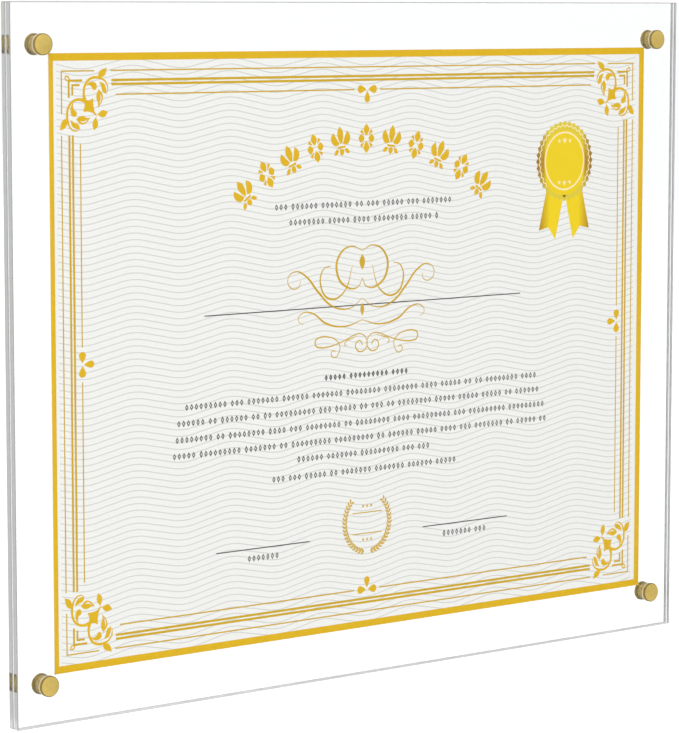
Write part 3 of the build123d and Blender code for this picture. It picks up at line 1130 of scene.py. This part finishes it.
def close_thread(ridge, root, crest):
    """Merge a screwed ridge, let it rise out of the core at its ends and close it."""
    heights = [vertex.co.z for vertex in ridge.data.vertices]
    low, high = min(heights), max(heights)
    for vertex in ridge.data.vertices:
        if vertex.co.xy.length > root + NEAR:
            rise = min(vertex.co.z - low, high - vertex.co.z, THREAD_RUNOUT) / THREAD_RUNOUT
            shown = max(rise - THREAD_HIDDEN, 0) / (1 - THREAD_HIDDEN)
            vertex.co.xy *= (root + (crest - root) * shown) / crest
    pick(ridge)
    edit()
    bpy.ops.mesh.select_all(action="SELECT")
    bpy.ops.mesh.remove_doubles(threshold=0.0005)
    bpy.ops.mesh.select_mode(type="EDGE")
    bpy.ops.mesh.select_all(action="DESELECT")
    bpy.ops.mesh.select_non_manifold()
    bpy.ops.mesh.fill()
    bpy.ops.mesh.select_all(action="SELECT")
    bpy.ops.mesh.normals_make_consistent(inside=False)
    edit(False)


class CERTIFICATE_OT_studs(bpy.types.Operator):
    """Turn the studs and cut their thread"""
    bl_idname = "certificate_frame.studs"
    bl_label = "Threaded studs"

    def execute(self, context):
        fastener = settings().fastener
        low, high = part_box("stud_top_left")
        radius, tip, seat = (high.x - low.x) / 2 / MM, -high.y / MM, -low.y / MM
        root = radius - fastener.thread_depth / MM
        stud = turn_profile("stud", [(root - STUD_TIP_BEVEL, tip), (root, tip + STUD_TIP_BEVEL),
                                     (root, seat - STUD_RELIEF), (radius, seat - STUD_SHOULDER),
                                     (radius, seat)], STUD_SIDES)
        finish_turned(stud, fastener.edge_break / MM)
        pitch, foot = fastener.thread_pitch / MM, root - THREAD_FOOT
        pick()
        bpy.ops.mesh.primitive_circle_add(vertices=3, radius=0.3, fill_type="NGON")
        ridge = bpy.context.object
        ridge.name = "thread"
        section = ((foot, -THREAD_HALF_WIDTH), (radius, 0), (foot, THREAD_HALF_WIDTH))
        for vertex, (x, rise) in zip(ridge.data.vertices, section):
            vertex.co = (x, 0, tip + THREAD_RUNOUT + rise * pitch)
        turns = int((seat - THREAD_END - tip) / pitch)
        modify(ridge, "SCREW", axis="Z", screw_offset=pitch, iterations=turns, steps=THREAD_STEPS,
               render_steps=THREAD_STEPS)
        close_thread(ridge, foot, radius)
        pick(stud, ridge)
        bpy.ops.object.join()
        brass = turned_brass("bright_threaded_brass", fastener.stud_colour, "#CFAF60", 0.3)
        place_at_corners(stud, "stud", "cap_{corner}", brass)
        return {"FINISHED"}


class CERTIFICATE_OT_posts(bpy.types.Operator):
    """Turn the brass posts with flange, sleeve, bore and countersunk floor. The flange is painted a darker
    brass than the sleeve, as painted shade
    """
    bl_idname = "certificate_frame.posts"
    bl_label = "Flanged posts"

    def execute(self, context):
        fastener = settings().fastener
        low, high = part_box("post_top_left")
        flange_radius, end = (high.x - low.x) / 2 / MM, -low.y / MM
        sleeve, bore = fastener.sleeve_radius / MM, fastener.bore_radius / MM
        hole, sink = fastener.screw_hole_radius / MM, fastener.countersink_radius / MM
        flange, floor = fastener.flange_thickness / MM, fastener.floor_thickness / MM
        neck = floor - fastener.countersink_depth / MM
        post = turn_profile("post", [(hole, 0), (flange_radius, 0), (flange_radius, flange), (sleeve, flange),
                                     (sleeve, end), (bore, end), (bore, floor), (sink, floor), (hole, neck)],
                            ROUND_SIDES, closed=True)
        finish_turned(post, fastener.edge_break / MM)
        # Painted shade: the flange gets the darker brass, and the sleeve band has the brass's own colour
        shaded_post_brass = turned_brass("post_brass_painted_shade", fastener.post_shade_colour, "#98874A", 0.55,
                              (low.y, -fastener.flange_thickness, fastener.sleeve_colour))
        place_at_corners(post, "post", "root", shaded_post_brass)
        return {"FINISHED"}


# The studio: softboxes with their place, width, height and watts, which all face the frame's middle. Then
# the depth of a direction over which the room in front turns into the room behind, the cosines from the
# flag's direction over which the room turns into the flag, and the floor's size and how far back it lies
LAMPS = {"key_softbox": ((-0.4, -3.2, 2.2), 1.8, 1.8, 37.0),
         "side_softbox": ((-2.5, -0.7, 0.2), 1.8, 1.0, 15.0)}
BEHIND = -0.25, 0.1
FLAG_EDGE = 0.955, 0.986
FLOOR_SIZE, FLOOR_BACK = 12, 5.1


class CERTIFICATE_OT_studio(bpy.types.Operator):
    """Set up the camera, the white room, the pale floor and the soft lamps"""
    bl_idname = "certificate_frame.studio"
    bl_label = "Studio"

    def execute(self, context):
        stage = settings().stage
        context.scene.view_settings.view_transform = "Standard"
        pick()
        bpy.ops.object.camera_add(location=stage.camera_place,
                                  rotation=(pi / 2 - stage.camera_drop, 0, -stage.camera_yaw))
        camera = context.object
        camera.name = "photo_camera"
        set_all(camera.data, lens=stage.lens, sensor_width=36, sensor_height=36, sensor_fit="AUTO",
                clip_start=0.05)
        camera.data.dof.use_dof = False
        context.scene.camera = camera
        self.light_room(context, stage)
        self.lay_floor(stage)
        for name, (place, wide, high, watts) in LAMPS.items():
            self.hang_lamp(name, place, wide, high, watts)
        return {"FINISHED"}

    def light_room(self, context, stage):
        """White to the eye, and a little brighter where it is seen through the panels or mirrored from behind
        them. Gloss mirrors a darker room in front, with a black flag where the flat faces would catch it."""
        room = bpy.data.worlds.new("white_room")
        context.scene.world = room
        room.use_nodes = True
        tree = room.node_tree
        tree.nodes.clear()
        path = add_node(tree, "LightPath", {}).outputs
        direction = add_node(tree, "TexCoord", {}).outputs["Generated"]
        behind = scaled(tree, along(tree, direction, 1), *BEHIND)
        to_flag = vector(tree, "DOT_PRODUCT", direction, stage.flag_place).outputs["Value"]
        front = scaled(tree, to_flag, *FLAG_EDGE, stage.room_gloss, stage.flag_gloss)
        unturned = calculated(tree, "LESS_THAN", path["Glossy Depth"], 0.5)
        through = calculated(tree, "MAXIMUM", behind, unturned)
        mirrored = between(tree, through, front, stage.behind_gloss)
        bent = calculated(tree, "MAXIMUM", path["Is Glossy Ray"], path["Is Transmission Ray"])
        lit = between(tree, bent, stage.ambient, mirrored)
        strength = between(tree, path["Is Camera Ray"], lit, 1.0)
        white = add_node(tree, "Background", {"Color": linear("#FFFFFF"), "Strength": strength})
        add_node(tree, "OutputWorld", {"Surface": white})

    def lay_floor(self, stage):
        """A wide pale floor below the frame. It glows a little to the eye and through the panels."""
        pick()
        bpy.ops.mesh.primitive_plane_add(size=FLOOR_SIZE,
                                         location=(0, FLOOR_BACK, CAD_BOX[0].z - stage.floor_drop))
        floor = bpy.context.object
        floor.name = "studio_floor"
        material, tree = new_material("pale_studio_floor")
        path = add_node(tree, "LightPath", {}).outputs
        seen = calculated(tree, "MULTIPLY", path["Is Camera Ray"], stage.floor_glow)
        glow = calculated(tree, "MULTIPLY_ADD", path["Is Transmission Ray"], stage.floor_glow_in_glass, seen)
        paint = surface(tree, linear("#F4F4F2"), 0.8, Emission_Color=linear("#FFFFFF"),
                        Emission_Strength=glow)
        dress(floor, close_material(material, paint))

    def hang_lamp(self, name, place, wide, high, watts):
        """A rectangular softbox that faces the frame's middle."""
        pick()
        heading = (-Vector(place)).to_track_quat("-Z", "Y").to_euler()
        bpy.ops.object.light_add(type="AREA", location=place, rotation=heading)
        lamp = bpy.context.object
        lamp.name = name
        set_all(lamp.data, shape="RECTANGLE", size=wide, size_y=high, energy=watts)


class CertificateFrameSettings(bpy.types.PropertyGroup):
    print: PointerProperty(type=PrintSettings, name="Print", description="Inks and wave ground of the card")
    fastener: PointerProperty(type=FastenerSettings, name="Fasteners", description="Turned brass pieces")
    panel: PointerProperty(type=PanelSettings, name="Panels", description="Acrylic panels")
    stage: PointerProperty(type=StageSettings, name="Studio", description="Camera, room and floor")


STEPS = (CERTIFICATE_OT_studio, CERTIFICATE_OT_panels, CERTIFICATE_OT_wave_ground, CERTIFICATE_OT_border,
         CERTIFICATE_OT_corner_ornaments, CERTIFICATE_OT_trefoils, CERTIFICATE_OT_title,
         CERTIFICATE_OT_text_rows, CERTIFICATE_OT_flourishes, CERTIFICATE_OT_seal, CERTIFICATE_OT_laurel,
         CERTIFICATE_OT_caps, CERTIFICATE_OT_studs, CERTIFICATE_OT_posts)


class CERTIFICATE_PT_frame(bpy.types.Panel):
    """The steps that build the dressed frame, in their order"""
    bl_idname = "CERTIFICATE_PT_frame"
    bl_label = "Certificate frame"
    bl_space_type = "VIEW_3D"
    bl_region_type = "UI"
    bl_category = "Certificate frame"

    def draw(self, context):
        for step in STEPS:
            self.layout.operator(step.bl_idname)


GROUPS = (PrintSettings, FastenerSettings, PanelSettings, StageSettings, CertificateFrameSettings)


def register():
    for entry in GROUPS + STEPS + (CERTIFICATE_PT_frame,):
        bpy.utils.register_class(entry)
    bpy.types.Scene.certificate_frame = PointerProperty(type=CertificateFrameSettings)


def unregister():
    del bpy.types.Scene.certificate_frame
    for entry in reversed(GROUPS + STEPS + (CERTIFICATE_PT_frame,)):
        bpy.utils.unregister_class(entry)


def main():
    register()
    for step in STEPS:
        getattr(bpy.ops.certificate_frame, step.bl_idname.split(".")[1])()


if __name__ == "__main__":
    main()
